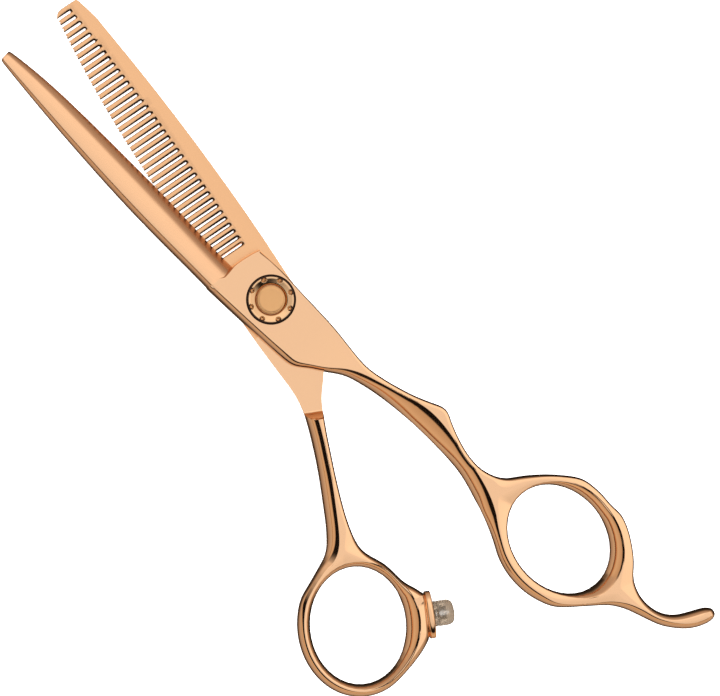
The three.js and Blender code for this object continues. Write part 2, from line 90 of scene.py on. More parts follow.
# The studio: white overhead, a dark strip round it, warm walls, darker on the right.
studio = {
    "strength": 1.0,
    "rightWay": (0.93, 0.2, 0.0),
    "leftToRight": (-0.12, 0.22),
    "sunStrength": 5.0,
    "sunAngle": math.radians(40),
    "floorSize": 6.0,
    "floorGap": 0.00005,
    "floorColour": (0.92, 0.92, 0.92, 1),
    "floorRoughness": 0.9,
    "floorGlow": 0.8,
    "leftWall": [
        (0.00, (0.07, 0.05, 0.035)), (0.08, (0.08, 0.06, 0.04)), (0.13, (0.42, 0.33, 0.26)),
        (0.30, (0.62, 0.54, 0.46)), (0.46, (0.70, 0.60, 0.48)), (0.492, (0.55, 0.36, 0.20)),
        (0.50, (0.16, 0.06, 0.02)), (0.508, (0.60, 0.44, 0.28)), (0.60, (0.80, 0.66, 0.50)),
        (0.80, (0.62, 0.48, 0.34)), (0.835, (0.012, 0.009, 0.008)), (0.935, (0.006, 0.005, 0.005)),
        (0.955, (0.86, 0.84, 0.80)), (1.0, (1.0, 1.0, 1.0)),
    ],
    "rightWall": [
        (0.00, (0.02, 0.015, 0.01)), (0.20, (0.03, 0.025, 0.02)), (0.30, (0.10, 0.08, 0.06)),
        (0.40, (0.34, 0.27, 0.22)), (0.50, (0.46, 0.37, 0.30)), (0.60, (0.52, 0.43, 0.36)),
        (0.72, (0.56, 0.47, 0.40)), (0.82, (0.70, 0.60, 0.52)),
        (0.89, (0.90, 0.82, 0.74)), (0.93, (1.30, 1.25, 1.16)), (0.985, (1.28, 1.25, 1.18)),
        (1.0, (1.0, 1.0, 1.0)),
    ],
}


# A new node with settings of its own, values for its sockets, and links into them from other outputs.
def addNode(tree, kind, values=None, links=None, **settings):
    node = tree.nodes.new(kind)
    for name, value in settings.items():
        setattr(node, name, value)
    for name, value in (values or {}).items():
        node.inputs[name].default_value = value
    for name, output in (links or {}).items():
        tree.links.new(output, node.inputs[name])
    return node


# The stops are placed twice, because the ramp sorts them again as they move.
def rampFrom(tree, stops):
    ramp = addNode(tree, "ShaderNodeValToRGB")
    elements = ramp.color_ramp.elements
    while len(elements) < len(stops):
        elements.new(0.5)
    for element, (place, colour) in zip(elements, stops):
        element.position = place
    for element, (place, colour) in zip(elements, stops):
        element.position = place
        element.color = (*colour, 1.0)
    return ramp


# The surroundings: one ramp over height for each side, mixed from left to right.
def makeWorld():
    world = bpy.data.worlds.new("studio")
    bpy.context.scene.world = world
    world.use_nodes = True
    tree = world.node_tree
    tree.nodes.clear()
    way = addNode(tree, "ShaderNodeTexCoord").outputs["Generated"]
    apart = addNode(tree, "ShaderNodeSeparateXYZ", links={0: way})
    height = addNode(tree, "ShaderNodeMapRange", {"From Min": -1.0}, {"Value": apart.outputs["Z"]})
    side = addNode(tree, "ShaderNodeVectorMath", {1: studio["rightWay"]}, {0: way}, operation="DOT_PRODUCT")
    low, high = studio["leftToRight"]
    share = addNode(
        tree, "ShaderNodeMapRange", {"From Min": low, "From Max": high}, {"Value": side.outputs["Value"]},
        interpolation_type="SMOOTHSTEP",
    )
    mix = addNode(tree, "ShaderNodeMix", links={"Factor": share.outputs["Result"]}, data_type="RGBA")
    for socket, name in (("A", "leftWall"), ("B", "rightWall")):
        ramp = rampFrom(tree, studio[name])
        tree.links.new(height.outputs["Result"], ramp.inputs["Fac"])
        tree.links.new(ramp.outputs["Color"], mix.inputs[socket])
    background = addNode(
        tree, "ShaderNodeBackground", {"Strength": studio["strength"]}, {"Color": mix.outputs["Result"]},
    )
    addNode(tree, "ShaderNodeOutputWorld", links={"Surface": background.outputs[0]})


def makeSun():
    light = bpy.data.lights.new("overhead", "SUN")
    light.energy = studio["sunStrength"]
    light.angle = studio["sunAngle"]
    sun = bpy.data.objects.new("overhead", light)
    sun.visible_glossy = False
    bpy.context.scene.collection.objects.link(sun)


def makeFloor():
    under = cadBox[0].z - studio["floorGap"]
    bpy.ops.mesh.primitive_plane_add(size=studio["floorSize"], location=(0, 0, under))
    floor = bpy.context.object
    floor.name = "floor"
    floor.visible_glossy = False
    paint = bpy.data.materials.new("paleFloor")
    paint.use_nodes = True
    shader = paint.node_tree.nodes["Principled BSDF"]
    shader.inputs["Base Color"].default_value = studio["floorColour"]
    shader.inputs["Roughness"].default_value = studio["floorRoughness"]
    shader.inputs["Specular IOR Level"].default_value = 0.0
    shader.inputs["Emission Color"].default_value = (1, 1, 1, 1)
    shader.inputs["Emission Strength"].default_value = studio["floorGlow"]
    floor.data.materials.append(paint)


makeCamera()
makeWorld()
makeSun()
makeFloor()
bpy.context.scene.view_settings.view_transform = "Standard"
print("studio ready")

# The colours of the finishes.
finishes = {
    "roseGold": (0.87, 0.53, 0.31),
    "satinGold": (0.82, 0.49, 0.29),
    "dialGold": (0.80, 0.50, 0.28),
    "combGold": (0.86, 0.49, 0.26),
    "capGold": (0.78, 0.44, 0.20),
    # gap: near-black, painted as shade into the dial's running gap and onto its dimples' outer sides.
    "gap": (0.006, 0.004, 0.003),
    "steel": (0.60, 0.60, 0.62),
    "darkSteel": (0.10, 0.085, 0.07),
    "bronze": (0.35, 0.18, 0.07),
    "washer": (0.80, 0.75, 0.64),
    "bumper": (0.30, 0.24, 0.18),
}


# Fine polishing strokes along one direction, with slow cloudy changes of colour over them.
strokeLook = {
    "detail": 3.0,
    "height": 0.00002,
    "cloudScale": 0.09,
    "cloudDetail": 2.0,
    "cloudRange": (0.3, 0.7),
    "cloudTint": (0.55, 0.30, 0.20, 1),
}


def makeStrokes():
    group = bpy.data.node_groups.new("polishingStrokes", "ShaderNodeTree")
    number, colour = "NodeSocketFloat", "NodeSocketColor"
    for name, kind in (
        ("Vector", "NodeSocketVector"), ("Roughness", number), ("Spread", number), ("Colour", colour),
        ("Cloudiness", number),
    ):
        group.interface.new_socket(name=name, in_out="INPUT", socket_type=kind)
    for name, kind in (("Colour", colour), ("Roughness", number), ("Height", number)):
        group.interface.new_socket(name=name, in_out="OUTPUT", socket_type=kind)
    given = addNode(group, "NodeGroupInput").outputs
    strokes = addNode(
        group, "ShaderNodeTexNoise", {"Scale": 1.0, "Detail": strokeLook["detail"]},
        {"Vector": given["Vector"]},
    )
    clouds = addNode(
        group, "ShaderNodeTexNoise",
        {"Scale": strokeLook["cloudScale"], "Detail": strokeLook["cloudDetail"]},
        {"Vector": given["Vector"]},
    )
    centred = addNode(group, "ShaderNodeMath", {1: 0.5}, {0: strokes.outputs["Fac"]}, operation="SUBTRACT")
    gloss = addNode(
        group, "ShaderNodeMath", links={0: centred.outputs[0], 1: given["Spread"], 2: given["Roughness"]},
        operation="MULTIPLY_ADD",
    )
    low, high = strokeLook["cloudRange"]
    shade = addNode(
        group, "ShaderNodeMapRange", {"From Min": low, "From Max": high}, {"Value": clouds.outputs["Fac"]},
    )
    weight = addNode(
        group, "ShaderNodeMath", links={0: shade.outputs["Result"], 1: given["Cloudiness"]},
        operation="MULTIPLY",
    )
    tint = addNode(
        group, "ShaderNodeMix", {"B": strokeLook["cloudTint"]},
        {"Factor": weight.outputs[0], "A": given["Colour"]}, data_type="RGBA",
    )
    addNode(group, "NodeGroupOutput", links={
        "Colour": tint.outputs["Result"], "Roughness": gloss.outputs[0], "Height": strokes.outputs["Fac"],
    })
    return group


strokesGroup = makeStrokes()


# A polished or brushed metal: grain gives the strokes per metre across x, y and z.
def metal(name, finish, roughness, grain, spread, depth, cloudiness, turn=0.0):
    made = bpy.data.materials.new(name)
    made.use_nodes = True
    tree = made.node_tree
    shader = tree.nodes["Principled BSDF"]
    shader.inputs["Metallic"].default_value = 1.0
    coordinate = addNode(tree, "ShaderNodeTexCoord")
    mapping = addNode(
        tree, "ShaderNodeMapping", {"Rotation": (0, 0, turn), "Scale": grain},
        {"Vector": coordinate.outputs["Object"]},
    )
    marks = addNode(tree, "ShaderNodeGroup", node_tree=strokesGroup)
    for socket, value in (
        ("Roughness", roughness), ("Spread", spread), ("Colour", (*finishes[finish], 1)),
        ("Cloudiness", cloudiness),
    ):
        marks.inputs[socket].default_value = value
    tree.links.new(mapping.outputs[0], marks.inputs["Vector"])
    bump = addNode(
        tree, "ShaderNodeBump", {"Strength": depth, "Distance": strokeLook["height"]},
        {"Height": marks.outputs["Height"]},
    )
    tree.links.new(marks.outputs["Colour"], shader.inputs["Base Color"])
    tree.links.new(marks.outputs["Roughness"], shader.inputs["Roughness"])
    tree.links.new(bump.outputs["Normal"], shader.inputs["Normal"])
    return made


def plastic(name, finish, roughness, transmission=0.0, specular=0.5):
    made = metal(name, finish, roughness, grain=(900, 900, 900), spread=0.1, depth=0.05, cloudiness=0.1)
    shader = made.node_tree.nodes["Principled BSDF"]
    shader.inputs["Metallic"].default_value = 0.0
    shader.inputs["Specular IOR Level"].default_value = specular
    shader.inputs["Transmission Weight"].default_value = transmission
    return made


polishedGold = metal(
    "polishedGold", "roseGold", 0.10, grain=(400, 120, 400), spread=0.04, depth=0.01, cloudiness=0.03,
)
satinGold = metal(
    "satinGold", "satinGold", 0.24, grain=(2600, 160, 2600), spread=0.10, depth=0.06, cloudiness=0.06,
)
satinComb = metal(
    "satinComb", "combGold", 0.24, grain=(2600, 160, 2600), spread=0.08, depth=0.02, cloudiness=0.04,
    turn=math.radians(14),
)
dialGold = metal(
    "dialGold", "dialGold", 0.13, grain=(900, 900, 900), spread=0.08, depth=0.03, cloudiness=0.05,
)
capGold = metal(
    "capGold", "capGold", 0.36, grain=(1500, 1500, 1500), spread=0.12, depth=0.08, cloudiness=0.08,
)
darkSteel = metal(
    "darkSteel", "darkSteel", 0.30, grain=(1200, 1200, 1200), spread=0.10, depth=0.03, cloudiness=0.03,
)
steel = metal("steel", "steel", 0.30, grain=(1200, 1200, 1200), spread=0.10, depth=0.03, cloudiness=0.03)
bronze = metal("bronze", "bronze", 0.45, grain=(900, 900, 900), spread=0.12, depth=0.06, cloudiness=0.10)
# A near-black matt finish that paints shade into the gap round the dial and onto the dimples' outer sides.
gapPaintedShade = plastic("gapPaintedShade", "gap", 0.8, specular=0.0)
washerPolymer = plastic("washerPolymer", "washer", 0.5)
bumperPolymer = plastic("bumperPolymer", "bumper", 0.22, transmission=0.75)

# The pieces carried over from the frame keep their meshes and get a finish here.
cadFinish = {
    "pivot_bush": bronze, "pivot_stud": steel, "thrust_washer": washerPolymer, "wave_spring": steel,
    "click_plate": steel, "click_ball_left": steel, "click_ball_right": steel, "bumper_stud": darkSteel,
}
for name, material in cadFinish.items():
    nodes[name].data.materials.clear()
    nodes[name].data.materials.append(material)
print("finishes ready")

# Outlines are taken from the frame's solids. Beyond this place along y lies the blade end, whose corners
# stay sharp.
bladeFrom = 2.0


# Values round a closed loop, each averaged with its neighbours.
def evened(values, width):
    spread = np.arange(-3 * width, 3 * width + 1)
    weights = np.exp(-0.5 * (spread / width) ** 2)
    weights /= weights.sum()
    return sum(w * np.roll(values, k) for k, w in zip(spread, weights))


# The closed lines in which a level plane cuts a CAD node, turned by an angle, in millimetres.
def sectionLoops(name, height, turn=0.0):
    bm = bmesh.new()
    bm.from_mesh(nodes[name].data)
    bmesh.ops.remove_doubles(bm, verts=bm.verts, dist=1e-7)
    bmesh.ops.rotate(bm, verts=bm.verts, cent=(0, 0, 0), matrix=Matrix.Rotation(turn, 3, "Z"))
    bmesh.ops.bisect_plane(
        bm, geom=[*bm.verts, *bm.edges, *bm.faces], dist=1e-8,
        plane_co=(0, 0, height), plane_no=(0, 0, 1), clear_outer=True, clear_inner=True,
    )
    bmesh.ops.remove_doubles(bm, verts=bm.verts, dist=2e-6)
    bm.verts.index_update()
    loops, seen = [], set()
    for start in bm.verts:
        if start.index in seen:
            continue
        loop, vert = [], start
        while vert is not None:
            seen.add(vert.index)
            loop.append((vert.co.x / mm, vert.co.y / mm))
            beside = [edge.other_vert(vert) for edge in vert.link_edges]
            vert = next((other for other in beside if other.index not in seen), None)
        loops.append(np.array(loop))
    bm.free()
    return sorted((loop for loop in loops if len(loop) > 5), key=lambda loop: -np.ptp(loop, 0).sum())


# Above zero when the points run anticlockwise.
def signedArea(points):
    nextPoints = np.roll(points, -1, 0)
    return 0.5 * np.sum(points[:, 0] * nextPoints[:, 1] - nextPoints[:, 0] * points[:, 1])


# How far a closed line turns at each of its points, in degrees.
def turning(points):
    before = points - np.roll(points, 1, 0)
    after = np.roll(points, -1, 0) - points
    cross = before[:, 0] * after[:, 1] - before[:, 1] * after[:, 0]
    return np.degrees(np.arctan2(cross, np.sum(before * after, 1)))


# A smooth line through points, with even spacing.
def smoothThrough(points, spacing):
    knots = np.vstack([2 * points[0] - points[1], points, 2 * points[-1] - points[-2]])
    fine = []
    for a, b, c, d in zip(knots, knots[1:], knots[2:], knots[3:]):
        tb = np.linalg.norm(b - a) ** 0.5
        tc = tb + np.linalg.norm(c - b) ** 0.5
        td = tc + np.linalg.norm(d - c) ** 0.5
        t = np.linspace(tb, tc, 16, endpoint=False)[:, None]
        ab = ((tb - t) * a + t * b) / tb
        bc = ((tc - t) * b + (t - tb) * c) / (tc - tb)
        cd = ((td - t) * c + (t - tc) * d) / (td - tc)
        abc = ((tc - t) * ab + t * bc) / tc
        bcd = ((td - t) * bc + (t - tb) * cd) / (td - tb)
        fine.append(((tc - t) * abc + (t - tb) * bcd) / (tc - tb))
    fine = np.vstack([*fine, points[-1:]])
    along = np.concatenate([[0], np.cumsum(np.linalg.norm(np.diff(fine, axis=0), axis=1))])
    even = np.linspace(0, along[-1], max(2, round(along[-1] / spacing) + 1))
    return np.column_stack([np.interp(even, along, fine[:, k]) for k in (0, 1)])


# A closed loop made smooth between its sharp corners, running anticlockwise, or clockwise for a hole.
def smoothLoop(points, spacing, hole=False, corner=50.0):
    if (signedArea(points) < 0) != hole:
        points = points[::-1]
    gap = np.linalg.norm(points - np.roll(points, 1, 0), axis=1)
    points = points[gap > 0.02]
    bends = np.abs(turning(points))
    corners = [i for i in range(len(points)) if bends[i] > corner and points[i, 1] > 0]
    if not corners:
        wrapped = np.vstack([points[-3:], points, points[:4]])
        smooth = smoothThrough(wrapped, spacing / 4)
        first = np.argmin(np.linalg.norm(smooth[: len(smooth) // 2] - points[0], axis=1))
        half = len(smooth) // 2
        last = half + np.argmin(np.linalg.norm(smooth[half:] - points[0], axis=1))
        return smoothThrough(smooth[first:last + 1:4], spacing)[:-1]
    points = np.roll(points, -corners[0], 0)
    corners = [i - corners[0] for i in corners] + [len(points)]
    closed = np.vstack([points, points[:1]])
    runs = [smoothThrough(closed[a:b + 1], spacing)[:-1] for a, b in zip(corners, corners[1:])]
    made = np.vstack(runs)
    softer = np.column_stack([evened(made[:, 0], 2), evened(made[:, 1], 2)])
    return np.where(made[:, 1:] > bladeFrom, made, softer)


# How far each point of some loops is from the middle line of the metal, along its inward normal.
def middleDistance(loops):
    everyPoint = np.vstack(loops)
    inward = []
    for points in loops:
        ahead = np.roll(points, -1, 0) - np.roll(points, 1, 0)
        ahead /= np.linalg.norm(ahead, axis=1)[:, None]
        normals = np.column_stack([-ahead[:, 1], ahead[:, 0]])
        softer = np.column_stack([evened(normals[:, 0], 3), evened(normals[:, 1], 3)])
        normals = np.where(points[:, 1:] > bladeFrom, normals, softer)
        inward.append(normals / np.linalg.norm(normals, axis=1)[:, None])
    reach = []
    for points, normals in zip(loops, inward):
        apart = everyPoint[None] - points[:, None]
        square = np.sum(apart ** 2, 2)
        across = np.einsum("ijk,ik->ij", apart, normals)
        radius = np.where((across > 1e-6) & (square > 0.04), square / np.maximum(2 * across, 1e-9), 1e9)
        reach.append(radius.min(1))
    return inward, reach


# Levels of the forgings in millimetres.
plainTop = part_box("plain_blade_half")[1].z / mm
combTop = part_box("thrust_washer")[1].z / mm
plainBottom = min(v.co.z for v in nodes["plain_blade_half"].data.vertices if v.co.y > 0) / mm
middle = (combTop + plainBottom) / 2

# What both forgings share, in millimetres: "facing" is how squarely an edge looks to the left, from not
# at all to fully, and "hole" values are for the finger holes.
forging = {
    "openAngle": math.radians(14),
    "spacing": 0.38,
    "facetSlope": math.tan(math.radians(22)),
    "edgeEndSlope": math.tan(math.radians(29)),
    "crownSlope": math.tan(math.radians(7)),
    "plateHalf": plainTop - middle,
    "shankHalf": 5.6 - middle,
    "thinFrom": 10.0,
    "thinTo": 34.0,
    "crownFrom": 16.0,
    "crownTo": 30.0,
    "topBand": 1.0,
    "partingDrop": 1.1,
    "facing": (-0.05, 0.55),
    "shankBlends": (9, 4),
    "crownMost": 0.85,
    "flatRim": 0.12,
    "mostRoom": 8.0,
    "freeHeight": 8.0,
    "roomShare": 0.9,
    "holeWidth": (1.0, 2.2),
    "holeRoom": (1.0, 2.6),
    "holeShares": (0.5, 0.62),
    "holeFacet": 0.2,
    "holeDrop": (1.2, 2.0),
    "evenTotal": 6,
    "evenFacet": 4,
    "evenCrown": 3,
    "edgeSteps": (0.06, 0.14, 0.24, 0.35, 0.46, 0.57, 0.68, 0.78, 0.87, 0.94, 1.0),
    "facetSteps": (0.25, 0.9, 1.0),
    "crownSteps": (0.1, 0.4, 1.0),
    "cutSpacing": 1.5,
    "stepCuts": 13,
}

def smoothStep(value, low, high):
    t = np.clip((np.asarray(value, float) - low) / (high - low), 0, 1)
    return t * t * (3 - 2 * t)


# Half the height of a forging at a place along y, from its plate to its shank.
def halfHeight(y):
    away = smoothStep(-y, forging["thinFrom"], forging["thinTo"])
    return forging["plateHalf"] + (forging["shankHalf"] - forging["plateHalf"]) * away


# The value at y on a line through (y, value) pairs.
def alongLine(pairs, y):
    places, values = zip(*sorted(pairs))
    return np.interp(y, places, values)


# Extrudes a ring of points into further rings, each a list of places in millimetres.
def extrudeRings(bm, ring, rows):
    for row in rows:
        made = bmesh.ops.extrude_edge_only(bm, edges=ringEdges(bm, ring))["geom"]
        fresh = {item for item in made if isinstance(item, bmesh.types.BMVert)}
        ring = [
            next(edge.other_vert(vert) for edge in vert.link_edges if edge.other_vert(vert) in fresh)
            for vert in ring
        ]
        for vert, place in zip(ring, row):
            vert.co = Vector(place) * mm
    return ring


# A closed ring of edges through places in millimetres.
def newRing(bm, places):
    ring = [bm.verts.new(Vector(place) * mm) for place in places]
    for a, b in zip(ring, ring[1:] + ring[:1]):
        bm.edges.new((a, b))
    return ring


def ringEdges(bm, ring):
    return [bm.edges.get((a, b)) for a, b in zip(ring, ring[1:] + ring[:1])]


def atHeight(points, heights):
    return np.column_stack([points, np.broadcast_to(heights, len(points))])


def circleAt(radius, height, count=96):
    angle = np.arange(count) * 2 * np.pi / count
    return np.column_stack([radius * np.cos(angle), radius * np.sin(angle), np.full(count, height)])


def bisectAt(bm, place, across):
    bmesh.ops.bisect_plane(
        bm, geom=[*bm.verts, *bm.edges, *bm.faces], dist=1e-8, plane_co=Vector(place) * mm, plane_no=across,
    )


# How far the metal reaches from each point straight across to its other side.
def chordLength(points, inward, loops):
    starts = np.vstack(loops)
    ends = np.vstack([np.roll(loop, -1, 0) for loop in loops])
    span = ends - starts
    offset = starts[None] - points[:, None]
    cross = inward[:, None, 0] * span[None, :, 1] - inward[:, None, 1] * span[None, :, 0]
    cross = np.where(np.abs(cross) < 1e-9, 1e-9, cross)
    reach = (offset[..., 0] * span[None, :, 1] - offset[..., 1] * span[None, :, 0]) / cross
    share = (offset[..., 0] * inward[:, None, 1] - offset[..., 1] * inward[:, None, 0]) / cross
    hit = (share >= -0.01) & (share <= 1.01) & (reach > 0.3)
    return np.where(hit, reach, 1e3).min(1)


# Steps of a rounding that starts upright and ends at a set slope: (distance in, height gained).
def roundedEdge(width, rise):
    steep = forging["edgeEndSlope"] * width / rise
    flat = np.clip(steep, 0.0, 0.49)
    endCos = flat / (1 - flat)
    endAngle = np.arccos(endCos)
    straight = np.clip(2 - 1 / np.maximum(steep, 0.1), 0.0, 0.9)
    steps = []
    for share in forging["edgeSteps"]:
        turn = endAngle * share
        bent = (1 - np.cos(turn)) / (1 - endCos)
        inset = np.where(steep < 0.49, bent, straight * share + (1 - straight) * share ** 2)
        lift = np.where(steep < 0.49, np.sin(turn) / np.sin(endAngle), share)
        steps.append((width * inset, rise * lift))
    return steps


# Squares the corner of an outline at its blade end: it is set in along the end, with its neighbour's room.
def squareCorner(points, inward, room):
    y = points[:, 1]
    corner = int(np.argmax(y - 0.2 * points[:, 0]))
    beside, across = sorted((corner - 1, (corner + 1) % len(points)), key=lambda k: y[k])
    way = points[across] - points[corner]
    inward[corner] = way / np.linalg.norm(way)
    room[corner] = room[beside]


# Along one loop: the widths of the rounding, of the facet and the crown above it, and the parting's drop.
def edgeWidths(loops, number, inward, room, shape, leftWay, bladeEnd):
    points = loops[number]
    y = points[:, 1]
    facing = smoothStep(-(inward @ leftWay), *forging["facing"])
    blendIn, blendOut = forging["shankBlends"]
    onShank = smoothStep(-y, -shape["shankFrom"], -shape["shankFrom"] + blendIn)
    onShank *= 1 - smoothStep(-y, -shape["shankTo"] - blendOut, -shape["shankTo"])
    onShank *= number == 0
    chord = chordLength(points, inward, loops)
    leftRoom = room + (np.maximum(chord - forging["topBand"], 0.5) - room) * onShank
    narrow = alongLine(shape["rightEdge"], y)
    wide = alongLine(shape["leftEdge"], y)
    facet = facing * alongLine(shape["facet"], y)
    if number:
        widthShare, roomShare = forging["holeShares"]
        wide, facet = np.clip(widthShare * chord, *forging["holeWidth"]), facing * forging["holeFacet"]
        leftRoom = np.maximum(room, np.clip(roomShare * chord, *forging["holeRoom"]))
    edge = narrow + (wide - narrow) * facing
    crown = (1 - facing) * smoothStep(-y, forging["crownFrom"], forging["crownTo"])
    crownRoom = room + (np.minimum(room, forging["crownMost"]) - room) * onShank
    atBlade = y > bladeFrom
    limit = leftRoom * facing + room * (1 - facing)
    if number == 0:
        edge, facet, crown = bladeEnd(points, inward, edge, facet, crown)
    total = np.minimum(edge + facet, limit)
    total = np.where(atBlade, total, np.minimum(evened(total, forging["evenTotal"]), limit))
    facet = np.minimum(np.where(atBlade, facet, evened(facet, forging["evenFacet"])), 0.6 * total)
    crown = evened(crown, forging["evenCrown"]) * np.maximum(crownRoom - total, 0)
    drop = forging["partingDrop"] * facing
    drop *= smoothStep(wide, *forging["holeDrop"]) if number else onShank
    return total - facet, facet, crown, drop


# Steps up one side of an edge, from the parting line to the flat: (distance in, height over the middle).
def edgeRows(edge, facet, crown, room, height, drop, side):
    edgeTop = height - facet * forging["facetSlope"] - crown * forging["crownSlope"]
    total = edge + facet
    rows = [(inset, lift - side * drop) for inset, lift in roundedEdge(edge, edgeTop + side * drop)]
    for share in forging["facetSteps"]:
        rows.append((edge + facet * share, edgeTop + facet * share * forging["facetSlope"]))
    for share in forging["crownSteps"]:
        rows.append((total + crown * share, height - crown * (1 - share) * forging["crownSlope"]))
    rows.append((total + crown + np.minimum(forging["flatRim"], 0.1 * room), height))
    return rows


# A closed shell with rounded edges on loops of outline points, with a stepped bore through it.
def forgedShell(loops, shape, leftWay, bore, bladeEnd):
    bm = bmesh.new()
    normals, reach = middleDistance(loops)
    lids = {1: [], -1: []}
    for number, (points, inward, room) in enumerate(zip(loops, normals, reach)):
        if number == 0 and shape["squareEnd"]:
            squareCorner(points, inward, room)
        room = forging["roomShare"] * np.minimum(room, forging["mostRoom"])
        edge, facet, crown, drop = edgeWidths(loops, number, inward, room, shape, leftWay, bladeEnd)
        height = halfHeight(points[:, 1])
        stretch = forging["plateHalf"] / height
        start = newRing(bm, atHeight(points, middle - drop * stretch))
        for side in (1, -1):
            places = [
                atHeight(points + inward * inset[:, None], middle + side * level * stretch)
                for inset, level in edgeRows(edge, facet, crown, room, height, drop, side)
            ]
            lids[side].append(extrudeRings(bm, start, places))
    first = newRing(bm, circleAt(*bore[0]))
    last = extrudeRings(bm, first, [circleAt(*step) for step in bore[1:]])
    lids[1].append(first)
    lids[-1].append(last)
    for side, rings in lids.items():
        rim = [edge for ring in rings for edge in ringEdges(bm, ring)]
        bmesh.ops.triangle_fill(bm, use_beauty=True, edges=rim, normal=(0, 0, side))
    for y in np.arange(forging["thinFrom"], forging["thinTo"] + 0.1, forging["cutSpacing"]):
        bisectAt(bm, (0, -y, 0), (0, 1, 0))
    for vert in bm.verts:
        thin = float(halfHeight(vert.co.y / mm)) / forging["plateHalf"]
        vert.co.z = (middle + (vert.co.z / mm - middle) * thin) * mm
    return bm


# Cuts the shell along a step and holds the heights beyond it to a limit that bends over its width.
def stepDown(bm, step, low, high, upper):
    line, slope, width = step["line"], step["slope"], step["width"]
    across = Vector((slope, 1, 0)).normalized()
    origin = Vector((0, line, 0))
    for share in np.linspace(-0.5, 0.5, forging["stepCuts"]):
        bisectAt(bm, origin + across * width * share, across)
    for vert in bm.verts:
        away = (vert.co / mm - origin).dot(across)
        limit = low + (high - low) * float(smoothStep(away, -width / 2, width / 2))
        vert.co.z = min(vert.co.z, limit * mm) if upper else max(vert.co.z, limit * mm)


# A finished piece on its body, with a second material on the faces that "where" picks out.
def makePiece(name, bm, material, body, turn=0.0, sharp=38.0, second=None, where=None):
    bmesh.ops.rotate(bm, verts=bm.verts, cent=(0, 0, 0), matrix=Matrix.Rotation(-turn, 3, "Z"))
    bmesh.ops.remove_doubles(bm, verts=bm.verts, dist=5e-7)
    bmesh.ops.dissolve_degenerate(bm, edges=bm.edges, dist=5e-7)
    bmesh.ops.recalc_face_normals(bm, faces=bm.faces)
    for face in bm.faces:
        face.smooth = True
        if second is not None:
            face.material_index = int(where(face, face.calc_center_median() / mm))
    for edge in bm.edges:
        edge.smooth = len(edge.link_faces) == 2 and edge.calc_face_angle(0.0) < math.radians(sharp)
    mesh = bpy.data.meshes.new(name)
    bm.to_mesh(mesh)
    bm.free()
    mesh.materials.append(material)
    if second is not None:
        mesh.materials.append(second)
    piece = bpy.data.objects.new(name, mesh)
    bpy.context.scene.collection.objects.link(piece)
    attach(piece, body)
    print(name, "made:", len(mesh.polygons), "faces")
    return piece


# The way to the left of the view, as seen in each half's own frame.
left = np.array([-view["right"].x, -view["right"].y])
left /= np.linalg.norm(left)
combTurn = forging["openAngle"]
combLeft = np.array([
    left[0] * math.cos(combTurn) - left[1] * math.sin(combTurn),
    left[0] * math.sin(combTurn) + left[1] * math.cos(combTurn),
])


def isRingHole(loop):
    return loop[:, 1].max() < -40


# Turns a loop anticlockwise and splits it where it rises over a level: the part below, then the part above.
def splitAt(loop, level):
    if signedArea(loop) < 0:
        loop = loop[::-1]
    below = loop[:, 1] < level
    start = next(i for i in range(len(loop)) if below[i] and not below[i - 1])
    loop, below = np.roll(loop, -start, 0), np.roll(below, -start)
    count = int(np.argmin(below))
    return loop[:count], loop[count:]


# The plain half's forging. Edges and the facet are (place along y, width), edges by the way they face,
# and each gap is the running clearance round a piece of the pivot.
plainForging = {
    "rightEdge": [
        (-104, 0.9), (-92, 0.9), (-86, 0.45), (-8, 0.4), (-5, 0.36), (5, 0.36), (7.5, 0.55), (9, 0.8),
    ],
    "leftEdge": [
        (-85, 1.2), (-65, 1.1), (-60, 1.3), (-56, 1.8), (-52, 2.1), (-47, 2.4), (-44, 2.6), (-40, 2.9),
        (-36, 3.0), (-31, 2.8), (-26, 2.0), (-22.5, 1.2), (-17, 1.0), (-5, 0.85), (8, 0.78), (12, 0.78),
    ],
    "facet": [
        (-85, 0.22), (-62, 0.25), (-58.5, 0.5), (-56, 0.9), (-52, 0.5), (-47, 0.35), (-43, 0.5),
        (-39, 0.8), (-35.5, 0.95), (-30, 0.4), (-27, 0.45), (-22.5, 0.7), (-17, 0.6), (-12, 0.45),
        (-8, 0.2), (12, 0.16),
    ],
    "squareEnd": True,
    "shankFrom": -19.0,
    "shankTo": -57.0,
    "step": {"line": -22.2, "slope": 0.04, "width": 0.2},
    "dialRim": (0.12, 0.0),
    "dialLip": (0.07, -0.06),
    "dialGap": 0.06,
    "bushGap": 0.12,
    "seatGap": 0.05,
}

# The plain blade: lengths in millimetres, slopes of the hollow from the crease to the edge in degrees.
plainBladeShape = {
    "start": 10.1,
    "hidden": 1.7,
    "notchEdge": 0.6,
    "notchFrom": (-3.9, -2.6),
    "notchFade": (-2.6, 1.0),
    "tipRound": 0.6,
    "tipCentre": 0.62,
    "tipHeight": 1.15,
    "edgeHeight": 0.16,
    "crease": 0.145,
    "facet": (0.16, 0.12),
    "slopes": [
        (0.0, 2), (0.08, 3), (0.18, 4.5), (0.3, 6), (0.42, 8), (0.52, 11), (0.60, 16), (0.66, 27),
        (0.72, 40), (0.79, 48), (0.87, 54), (0.94, 58), (1.0, 60),
    ],
}
plainLoops = sectionLoops("plain_blade_half", (plainBottom + 0.05) * mm)


# The rounding of the step down from the pivot plate to the ground blade.
def grindEnd(points, inward, edge, facet, crown):
    top = (points[:, 1] > 6.5) & (inward[:, 1] < -0.7)
    step = smoothStep(points[:, 0], *plainBladeShape["notchFrom"])
    step *= 1 - 0.65 * smoothStep(points[:, 0], *plainBladeShape["notchFade"])
    step = 0.03 + plainBladeShape["notchEdge"] * step
    return np.where(top, step, edge), np.where(top, 0.12 * step, facet), np.where(top, 0.0, crown)


